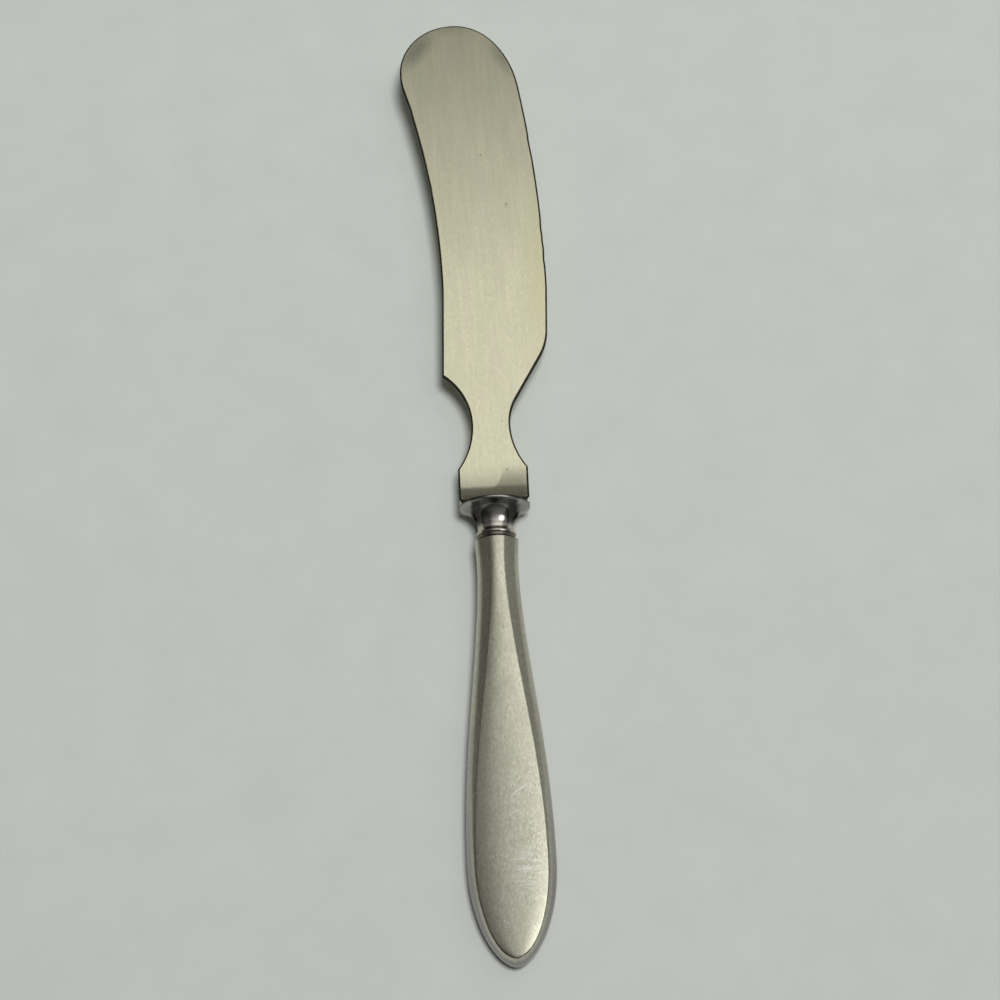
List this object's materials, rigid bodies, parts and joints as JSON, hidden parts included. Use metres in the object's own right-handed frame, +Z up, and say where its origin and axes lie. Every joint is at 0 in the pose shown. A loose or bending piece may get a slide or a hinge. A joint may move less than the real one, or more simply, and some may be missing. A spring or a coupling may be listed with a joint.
{
  "type": "butter knife",
  "caption": "Butter knife with a flat round-tipped blade, a turned trumpet bolster and a hollow teardrop handle, for spreading and cutting soft butter.",
  "frame": {"origin": "centre of the bounding box's base, on the surface that the knife lies on", "axes": "+Y along the knife towards the blade's tip, +Z up out of the front, +X towards the cutting edge"},
  "size_m": [0.0222, 0.1562, 0.011],
  "materials": {
    "blade_metal": "warm silver plate brushed along the blade, with tarnished bevels",
    "bolster_metal": "mirror-polished silver plate",
    "handle_metal": "satin silver plate with fine scratches",
    "cement": "dull cast cement",
    "solder": "dull grey solder"
  },
  "bodies": {
    "root": {"blade": "blade_metal", "bolster": "bolster_metal", "handle_front": "handle_metal", "handle_back": "handle_metal", "handle_cement": "cement", "blade_solder": "solder", "mouth_solder": "solder", "seam_solder": "solder"}
  },
  "joints": []
}
